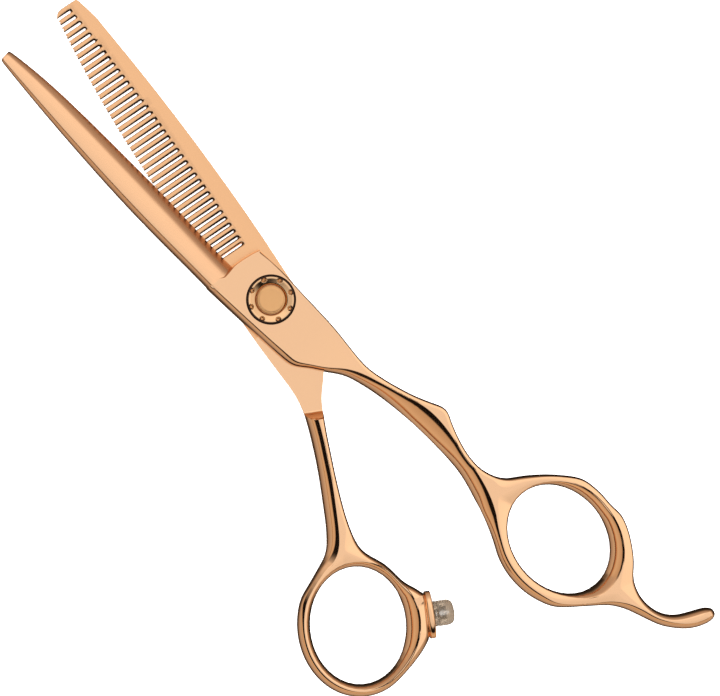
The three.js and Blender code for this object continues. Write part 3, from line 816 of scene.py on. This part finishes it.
def plainShell():
    start = plainBladeShape["start"]
    below = splitAt(plainLoops[0], start - 0.3)[0]
    along = (start - below[0, 1]) / (below[0, 1] - below[2, 1])
    outline = np.vstack([[below[0] + (below[0] - below[2]) * along], below])
    ring = next(loop for loop in plainLoops[1:] if isRingHole(loop))
    loops = [smoothLoop(outline, forging["spacing"]), smoothLoop(ring, forging["spacing"], True)]
    cut = (loops[0][:, 1] > start - 0.3) & (loops[0][:, 0] > below[0, 0] + 0.1)
    loops[0] = loops[0][~(cut & (loops[0][:, 0] < below[0, 0] + 1.25))]
    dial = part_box("tension_dial")[1].x / mm
    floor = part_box("wave_spring")[0].z / mm - plainForging["seatGap"]
    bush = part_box("pivot_bush")[1].x / mm + plainForging["bushGap"]
    bore = [(dial + out, plainTop + up) for out, up in (plainForging["dialRim"], plainForging["dialLip"])]
    bore += [(dial + plainForging["dialGap"], floor), (bush, floor), (bush, 2 * middle - plainTop)]
    bm = forgedShell(loops, plainForging, left, bore, grindEnd)
    stepDown(bm, plainForging["step"], 0.0, plainBottom, False)
    return bm


# Lofts a closed bar through sections at places along it.
def lofted(sections):
    bm = bmesh.new()
    ring = newRing(bm, sections[0])
    rim = ringEdges(bm, ring)
    last = extrudeRings(bm, ring, sections[1:])
    for edges in (rim, ringEdges(bm, last)):
        bmesh.ops.triangle_fill(bm, use_beauty=True, edges=edges)
    return bm


# A smooth line through one side of an outline, as a function of the place along it.
def sideLine(points, degree=6):
    middleY, halfY = points[:, 1].mean(), np.ptp(points[:, 1]) / 2
    fit = np.polyfit((points[:, 1] - middleY) / halfY, points[:, 0], degree)
    return lambda y: np.polyval(fit, (y - middleY) / halfY)


# Where the blade's outline crosses places along y: the spine's side and the edge's side.
def bladeSides(outline, places):
    loop = np.vstack([outline, outline[:1]])
    sides = []
    for y in places:
        crossings = [
            a[0] + (b[0] - a[0]) * (y - a[1]) / (b[1] - a[1])
            for a, b in zip(loop, loop[1:]) if (a[1] - y) * (b[1] - y) < 0
        ]
        sides.append((min(crossings), max(crossings)))
    return np.array(sides)


# One section of the plain blade: flat below, rounded spine, facet, then a hollow down to the edge.
def bladeSection(spine, edge, crease, back, facet, edgeHeight):
    shape = plainBladeShape
    slope = forging["facetSlope"]
    section = [(spine, 0.0)]
    for inset, lift in roundedEdge(crease, back - facet * slope):
        section.append((spine + float(inset), float(lift)))
    section.append((spine + crease + 0.9 * facet, back - 0.1 * facet * slope))
    face = spine + crease + 1.15 * facet
    section.append((face, back))
    shares = [share for share, _ in shape["slopes"]]
    slopes = [math.tan(math.radians(angle)) for _, angle in shape["slopes"]]
    drops = [0.0]
    for k in range(1, len(shares)):
        mean = 0.5 * (slopes[k] + slopes[k - 1])
        drops.append(drops[-1] + mean * (shares[k] - shares[k - 1]) * (edge - face))
    scale = (back - edgeHeight) / drops[-1]
    section += [
        (face + (edge - face) * share, back - drop * scale) for share, drop in zip(shares[1:], drops[1:])
    ]
    return section + [(edge, 0.0)]


def plainBladeShell():
    shape = plainBladeShape
    start, hidden, tipRound = shape["start"], shape["hidden"], shape["tipRound"]
    above = splitAt(plainLoops[0], start - 0.3)[1]
    tip = above[:, 1].max()
    places = np.linspace(start + 0.6, tip - 0.1, 40)
    sides = bladeSides(above, places)
    spineLine = sideLine(np.column_stack([sides[:, 0], places]))
    edgeLine = sideLine(np.column_stack([sides[:, 1], places]))
    stations = np.concatenate([
        start - hidden * np.array([1.0, 0.85, 0.5, 0.01]),
        np.arange(start, tip - tipRound, 0.9),
        tip - tipRound * (1 - np.sin(np.linspace(0, 0.5 * np.pi, 9))),
    ])
    sections = []
    for y in stations:
        along = (y - start) / (tip - start)
        spine, edge = float(spineLine(y)), float(edgeLine(y))
        pastRound = max(0.0, (y - tip + tipRound) / tipRound)
        pinch = math.sqrt(1 - (shape["tipCentre"] * pastRound) ** 2)
        centre = spine + shape["tipCentre"] * (edge - spine)
        spine, edge = centre + (spine - centre) * pinch, centre + (edge - centre) * pinch
        back = (forging["plateHalf"] - 0.05) * (1 - along) + shape["tipHeight"] * along
        back *= 0.55 + 0.45 * pinch
        sunk = 0.05 * float(smoothStep(start - y, 0.8 * hidden, hidden))
        facet = shape["facet"][0] + (shape["facet"][1] - shape["facet"][0]) * along
        crease = shape["crease"] * (edge - spine) - facet
        if y < start:
            back, spine = back + 0.006 - sunk, spine - 0.01 + sunk
        section = bladeSection(spine, edge, crease, back, facet, shape["edgeHeight"] * pinch)
        sections.append([(x, y, plainBottom + z) for x, z in section])
    return lofted(sections)


# The dial: its profile is in (distance in from the rim, height from the top).
dialShape = {
    "dimples": 8,
    "dimplePlace": 3.88,
    "dimpleRadius": 0.50,
    "dimpleDepth": 0.50,
    "phase": math.radians(17.5),
    "profile": [
        (0.0, -1.25), (0.05, -0.50), (0.12, -0.30), (0.22, -0.14), (0.30, -0.03), (0.34, 0.0), (0.52, 0.0),
        (0.60, -0.01), (0.68, -0.03), (1.50, -0.25), (1.62, -0.30), (1.70, -0.38), (1.78, -0.50),
    ],
    "spokes": 240,
    "finest": 0.09,
    "bore": 1.72,
    "seatGap": 0.05,
    "capGap": 0.06,
    # The widths of the painted shade on the dial's rim wall and round its dimples.
    "paintedShadeRim": 0.33,
    "paintedShadeDimple": (0.27, 0.55),
}
dimpleCentres = [
    dialShape["dimplePlace"] * Vector((math.cos(angle), math.sin(angle)))
    for angle in dialShape["phase"] + np.arange(dialShape["dimples"]) * 2 * math.pi / dialShape["dimples"]
]
dialEdge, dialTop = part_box("tension_dial")[1].x / mm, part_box("tension_dial")[1].z / mm


# Painted shade: the running gap round the dial is painted near-black all the way down, on the wall of the
# bore and on the dial.
def boreWallPaintedShade(face, place):
    inBore = place.xy.length < dialEdge + 0.14 and place.z < plainTop - 0.01
    return inBore and face.normal.xy.dot(place.xy) < 0.1


# Painted shade on the dial: the rim's wall and the outer side of each dimple are painted near-black.
def dialWallPaintedShade(face, place):
    if place.z > dialTop - 0.008:
        return False
    nearest = min((place.xy - centre for centre in dimpleCentres), key=lambda away: away.length)
    outward = nearest.dot(place.xy.normalized())
    low, high = dialShape["paintedShadeDimple"]
    onRim = place.xy.length > dialEdge - dialShape["paintedShadeRim"]
    return onRim or (low < nearest.length < high and outward > 0.04)


# The bore's wall round the dial carries painted shade.
plainPiece = makePiece(
    "plainHandle", plainShell(), polishedGold, "plain_half", sharp=28, second=gapPaintedShade, where=boreWallPaintedShade,
)
plainBladePiece = makePiece("plainBlade", plainBladeShell(), satinGold, "plain_half", sharp=30)
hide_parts("plain_blade_half")
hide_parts("plain_blade_half")

# The comb half's forging, with the same kinds of values.
combForging = {
    "rightEdge": [(-80, 0.9), (-52, 0.9), (-46, 0.5), (12, 0.45)],
    "leftEdge": [(-80, 1.2), (-52, 1.1), (-46, 1.4), (-20, 1.4), (-15, 0.9), (12, 0.9)],
    "facet": [
        (-80, 0.22), (-53, 0.25), (-49, 0.9), (-46.5, 1.2), (-43, 0.6), (-30, 0.7), (-22, 0.75),
        (-15, 0.3), (12, 0.16),
    ],
    "squareEnd": False,
    "shankFrom": -18.0,
    "shankTo": -47.0,
    "step": {"line": -25.7, "slope": 0.467, "width": 2.8},
    "washerGap": 0.12,
    "flangeGap": 0.13,
    "flangeTop": 0.85,
    "bushWall": 0.65,
    "seatGap": 0.05,
}

# The comb blade: "slot" values move the slots' sides, "slope" values are the widths of their slopes.
combShape = {
    "start": 8.6,
    "tipThickness": 1.5,
    "toothThickness": 0.55,
    "rim": 0.06,
    "tipRound": 1.5,
    "slotHigh": -0.18,
    "slotLow": 0.10,
    "slotEnd": 0.12,
    "slotRoots": ([8, 35, 68], [-1.6, -2.4, -3.4]),
    "slopeAtRoot": 0.46,
    "slopeAtTip": 0.22,
    "notchSlope": 0.16,
    "notchWidth": 0.24,
    "notchDepth": 0.26,
    "toothLine": [(0, -5.4), (0.4, -6.2), (0.7, -6.0), (1.0, -4.0)],
    "thicknessAt": [0, 0.5, 0.7, 0.9, 1.0],
}
combLoops = sectionLoops("comb_blade_half", (combTop - 0.05) * mm, combTurn)


# A node's points in the comb half's own frame, in millimetres.
def pointsInComb(name):
    places = np.array([v.co for v in nodes[name].data.vertices]) / mm
    c, s = math.cos(combTurn), math.sin(combTurn)
    x, y = c * places[:, 0] - s * places[:, 1], s * places[:, 0] + c * places[:, 1]
    return np.column_stack([x, y, places[:, 2]])


# The boss is (distance out from its face, share of its full size); the bumper's foot and end are
# (distance in from its side, distance from that end), and its hollow is (radius, distance out).
bumperShape = {
    "turn": math.radians(-25.2),
    "boss": [
        (-2.8, 0.66), (-2.2, 0.70), (-1.8, 0.77), (-1.6, 0.83), (-1.5, 0.85), (-1.4, 0.85),
        (-1.3, 0.86), (-1.22, 0.90), (-1.12, 0.965), (-0.98, 1.0), (-0.3, 1.0), (-0.12, 0.985),
        (-0.03, 0.95), (0.0, 0.90),
    ],
    "halfAcross": 4.5,
    "halfHigh": 2.32,
    "bossSquareness": 0.6,
    "hollow": [(0.0, 2.45), (1.0, 2.45), (1.3, 2.3), (1.34, 1.25), (0.9, 1.15), (0.88, 0.06)],
    "foot": [
        (0.35, 0.05), (0.08, 0.12), (0.0, 0.35), (0.02, 0.6), (0.12, 0.72), (0.02, 0.86), (0.0, 1.1),
    ],
    "end": [(0.0, 1.3), (0.08, 0.9), (0.3, 0.5), (0.7, 0.22), (1.4, 0.05)],
    "spokes": 72,
}
bumperWay = np.array([math.cos(bumperShape["turn"]), math.sin(bumperShape["turn"])])
bumperSide = np.array([-bumperWay[1], bumperWay[0]])
bumperPoints = pointsInComb("bumper")
bumperAlong = bumperPoints[:, :2] @ bumperWay
bumperAcross = bumperPoints[:, :2] @ bumperSide
bossFace = bumperAlong.min() - 0.05
bossCentre = bumperWay * bossFace + bumperSide * ((bumperAcross.min() + bumperAcross.max()) / 2)


# The comb half's end under the blade is square and flat.
def combEnd(points, inward, edge, facet, crown):
    top = (points[:, 1] > combShape["start"] - 0.6) & (inward[:, 1] < -0.7)
    return np.where(top, 0.03, edge), np.where(top, 0.0, facet), np.where(top, 0.0, crown)


def combShell():
    shape, start = combForging, combShape["start"]
    below = splitAt(combLoops[0], start - 0.3)[0]
    out = (below - bossCentre) @ bumperWay
    across = (below - bossCentre) @ bumperSide
    pad = ((out > -0.78) & (np.abs(across) < 6)) | ((np.abs(across) < 1.1) & (np.abs(out) < 4))
    outline = np.vstack([[(below[0, 0], start)], below[~pad], [(below[-1, 0], start)]])
    ring = next(loop for loop in combLoops[1:] if isRingHole(loop))
    loops = [smoothLoop(outline, forging["spacing"]), smoothLoop(ring, forging["spacing"], True)]
    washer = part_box("thrust_washer")
    washerWall, washerSeat = washer[1].x / mm + shape["washerGap"], washer[0].z / mm - shape["seatGap"]
    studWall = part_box("pivot_bush")[1].x / mm - shape["bushWall"]
    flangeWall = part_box("pivot_stud")[1].x / mm + shape["flangeGap"]
    bore = [
        (washerWall, plainTop), (washerWall, washerSeat), (studWall, washerSeat),
        (studWall, shape["flangeTop"]), (flangeWall, shape["flangeTop"]), (flangeWall, 0.0),
    ]
    bm = forgedShell(loops, shape, combLeft, bore, combEnd)
    stepDown(bm, shape["step"], forging["freeHeight"], combTop, True)
    return bm


# The comb half is satin where its plate carries on from the comb.
def combPlate(face, place):
    return place.y > -3.0


combPiece = makePiece(
    "combHandle", combShell(), polishedGold, "comb_half", combTurn, sharp=28, second=satinComb,
    where=combPlate,
)
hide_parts("comb_blade_half")


# Points round one slot, from its mouth round its root and back. Each point of the comb's outline is its
# place, how far the top face is set back from it, and how deep that slope goes.
def slotPoints(high, low, root, tipLine):
    shape = combShape
    rim, atTip = shape["rim"], shape["slopeAtTip"]
    radius = (high - low) / 2
    centreX, centreY = root - radius - shape["slotEnd"], (high + low) / 2
    made = [((float(tipLine(high)), high), (0.02, atTip), atTip * forging["facetSlope"])]
    for angle in np.linspace(0.5 * math.pi, -0.5 * math.pi, 9):
        c, s = math.cos(angle), math.sin(angle)
        share = float(smoothStep(angle, -1.4, -0.1))
        away = rim + (shape["slopeAtRoot"] - rim) * share
        slope = 1 + (forging["facetSlope"] - 1) * share
        made.append(((centreX + radius * c, centreY + radius * s), (away * c, away * s), away * slope))
    return made + [((float(tipLine(low)), low), (0.02, -0.7 * rim), rim)]


# The small notch in the end of a tooth.
def notchPoints(y, tipLine):
    shape = combShape
    x, half, wide = float(tipLine(y)), shape["notchWidth"] / 2, shape["notchSlope"]
    return [
        ((x, y + half), (0.05, 0.01), shape["rim"]),
        ((x + shape["notchDepth"], y), (wide, 0), wide * forging["facetSlope"]),
        ((x, y - half), (0.05, -0.01), shape["rim"]),
    ]


# The spine, the rounded tip, then every slot and tooth back to the root.
def combOutline():
    shape = combShape
    start, rim = shape["start"], shape["rim"]
    below, above = splitAt(combLoops[0], start - 0.3)
    gap = np.linalg.norm(above - np.roll(above, 1, 0), axis=1)
    above = above[gap > 0.1]
    mouth = next(i for i in range(len(above)) if above[i, 0] < -3 and above[i + 1, 0] > above[i, 0] + 2)
    front, rest = above[:mouth + 1], above[mouth:]
    top = int(np.argmax(front[:, 1]))
    spine = smoothThrough(np.vstack([[(front[0, 0], start)], front[1:top + 1]]), 0.8)
    made = [((spine[0][0], start), (0, 0), 0)]
    made += [((x, y), (-rim, -0.3 * rim), rim) for x, y in spine[1:-2]]
    before, corner, end = spine[-3], spine[-1], front[-1]
    after = corner + (end - corner) * shape["tipRound"] / np.linalg.norm(end - corner)
    for t in (0.0, 0.25, 0.5, 0.75, 1.0):
        x, y = (1 - t) ** 2 * before + 2 * t * (1 - t) * corner + t ** 2 * after
        made.append(((x, y), (-0.7 * rim, -0.7 * rim), rim))
    made.append(((end[0], end[1]), (0, -rim), rim))
    inner = rest[:, 0] > np.interp(rest[:, 1], *shape["slotRoots"])
    tipLine = sideLine(rest[~inner], 5)
    slots, group = [], []
    for point, isInner in zip(rest, inner):
        if isInner:
            group.append(point)
        elif group:
            slots.append(np.array(group))
            group = []
    for k, slot in enumerate(slots):
        high, low = slot[:, 1].max() + shape["slotHigh"], slot[:, 1].min() + shape["slotLow"]
        made += slotPoints(high, low, slot[:, 0].max(), tipLine)
        if k + 1 < len(slots):
            made += notchPoints((low + slots[k + 1][:, 1].max()) / 2, tipLine)
    last = min(below[0, 0], below[-1, 0])
    return made + [((last, start + 1.0), (rim, 0), rim), ((last, start), (0, 0), 0)]


# A flat-topped blade, thinned from below towards its tip and its teeth.
def combBladeShell():
    shape = combShape
    outline = combOutline()
    tip = max(place[1] for place, _, _ in outline)
    bm = bmesh.new()
    top = newRing(bm, [(x + dx, y + dy, combTop) for (x, y), (dx, dy), _ in outline])
    low = extrudeRings(bm, top, [
        [(x, y, combTop - depth) for (x, y), _, depth in outline],
        [(x, y, 0.0) for (x, y), _, _ in outline],
    ])
    for ring in (top, low):
        bmesh.ops.triangle_fill(bm, use_beauty=True, edges=ringEdges(bm, ring), normal=(0, 0, 1))
    for x in np.arange(-5.5, 5.6, 1.1):
        bisectAt(bm, (x, 0, 0), (1, 0, 0))
    for y in np.arange(shape["start"] + 4, tip, 6.0):
        bisectAt(bm, (0, y, 0), (0, 1, 0))
    spineSide = sideLine(np.array([place for place, _, _ in outline if place[0] > 0]), 6)
    for vert in bm.verts:
        if vert.co.z < 0.1 * mm:
            x, y = vert.co.x / mm, vert.co.y / mm
            along = (y - shape["start"]) / (tip - shape["start"])
            back = combTop * (1 - along) + shape["tipThickness"] * along
            tooth = alongLine(shape["toothLine"], along)
            across = (x - tooth) / (float(spineSide(y)) - tooth)
            depths = [shape["toothThickness"], 0.8 * back, back, back, 0.55 * back]
            vert.co.z = (combTop - float(np.interp(across, shape["thicknessAt"], depths))) * mm
    return bm


# The chamfers along the slots are polished, the rest of the comb is satin.
def slotChamfer(face, place):
    return 0.87 < abs(face.normal.z) < 0.97 and place.z > 0.1


combBladePiece = makePiece(
    "combBlade", combBladeShell(), satinComb, "comb_half", combTurn, second=polishedGold, where=slotChamfer,
)
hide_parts("comb_blade_half")


# A closed turned shape from (radius, height) points in millimetres.
def spun(profile, steps):
    bm = bmesh.new()
    verts = [bm.verts.new(Vector((radius, 0, height)) * mm) for radius, height in profile]
    edges = [bm.edges.new(pair) for pair in zip(verts, verts[1:])]
    bmesh.ops.spin(
        bm, geom=[*verts, *edges], cent=(0, 0, 0), axis=(0, 0, 1), angle=2 * math.pi, steps=steps,
        use_merge=True,
    )
    bmesh.ops.remove_doubles(bm, verts=bm.verts, dist=2e-6)
    return bm


# A profile with more points, none further apart than a set distance.
def finer(profile, most):
    points = [profile[0]]
    for (r0, z0), (r1, z1) in zip(profile, profile[1:]):
        count = max(1, math.ceil(math.hypot(r1 - r0, z1 - z0) / most))
        points += [(r0 + (r1 - r0) * k / count, z0 + (z1 - z0) * k / count) for k in range(1, count + 1)]
    return points


def dialShell():
    low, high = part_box("tension_dial")
    radius, top, bottom = high.x / mm, high.z / mm, low.z / mm
    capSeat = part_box("dial_cap")[0].z / mm - dialShape["seatGap"]
    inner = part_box("dial_cap")[1].x / mm + dialShape["capGap"]
    bore = dialShape["bore"]
    profile = [(radius - inset, top + drop) for inset, drop in dialShape["profile"]]
    profile = finer(profile, dialShape["finest"])
    profile += [(inner, capSeat), (bore, capSeat), (bore, bottom), (radius, bottom), profile[0]]
    bm = spun(profile, dialShape["spokes"])
    for vert in bm.verts:
        place = vert.co.xy / mm
        if vert.co.z < (top - 0.75) * mm or place.length < inner + 0.05:
            continue
        for centre in dimpleCentres:
            share = (place - centre).length / dialShape["dimpleRadius"]
            if share < 1:
                floor = top - 0.03 - dialShape["dimpleDepth"] * (1 - share ** 2)
                vert.co.z = min(vert.co.z, floor * mm)
    return bm


# The cap: its profile is (distance in from the rim, height from the top), after the point in the middle.
capShape = {
    "middle": -0.015,
    "profile": [
        (1.1, -0.01), (0.42, 0.0), (0.34, -0.03), (0.30, -0.05), (0.24, -0.03), (0.16, -0.04),
        (0.05, -0.10), (0.0, -0.2),
    ],
    "bore": 1.72,
    "boreTop": -0.7,
    "spokes": 128,
    "finest": 0.25,
}


def capShell():
    low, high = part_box("dial_cap")
    radius, top, bottom = high.x / mm, high.z / mm, low.z / mm
    bore, boreTop = capShape["bore"], top + capShape["boreTop"]
    profile = [(0.0, top + capShape["middle"])]
    profile += [(radius - inset, top + drop) for inset, drop in capShape["profile"]]
    profile = finer(profile, capShape["finest"])
    profile += [(radius, bottom), (bore, bottom), (bore, boreTop), (0.0, boreTop)]
    return spun(profile, capShape["spokes"])


# The dial's rim wall and the dimples' outer sides carry painted shade.
dialPiece = makePiece(
    "tensionDial", dialShell(), dialGold, "dial", sharp=40, second=gapPaintedShade, where=dialWallPaintedShade,
)
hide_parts("tension_dial")
capPiece = makePiece("dialCap", capShell(), capGold, "dial", sharp=50)
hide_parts("dial_cap")


# Moves a shape made about +Z onto the bumper's axis, out from the pad's face.
def ontoBumperAxis(bm):
    place = Matrix.Translation(Vector((*bossCentre, middle)) * mm)
    place @= Matrix.Rotation(bumperShape["turn"], 4, "Z") @ Matrix.Rotation(math.radians(90), 4, "Y")
    bmesh.ops.transform(bm, matrix=place, verts=bm.verts)
    return bm


# The flanged boss on the thumb ring, nearly square in height.
def bossShell():
    rings = []
    count = bumperShape["spokes"]
    for out, share in bumperShape["boss"]:
        angle = np.arange(count) * 2 * np.pi / count
        high = np.sign(np.cos(angle)) * np.abs(np.cos(angle)) ** bumperShape["bossSquareness"]
        rings.append(np.column_stack([
            bumperShape["halfHigh"] * share * high, bumperShape["halfAcross"] * share * np.sin(angle),
            np.full(count, out),
        ]))
    return ontoBumperAxis(lofted(rings))


# The bumper's barrel, hollow over its stud.
def bumperShell():
    radius = (bumperAcross.max() - bumperAcross.min()) / 2
    length = bumperAlong.max() - bossFace
    profile = [*bumperShape["hollow"]]
    profile += [(radius - inset, out) for inset, out in bumperShape["foot"]]
    profile += [(radius - inset, length - back) for inset, back in bumperShape["end"]]
    return ontoBumperAxis(spun([*profile, (0.0, length)], bumperShape["spokes"]))


bossPiece = makePiece("bumperPad", bossShell(), polishedGold, "comb_half", combTurn)
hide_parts("comb_blade_half")
bumperPiece = makePiece("bumperBarrel", bumperShell(), bumperPolymer, "comb_half", combTurn, sharp=60)
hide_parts("bumper")
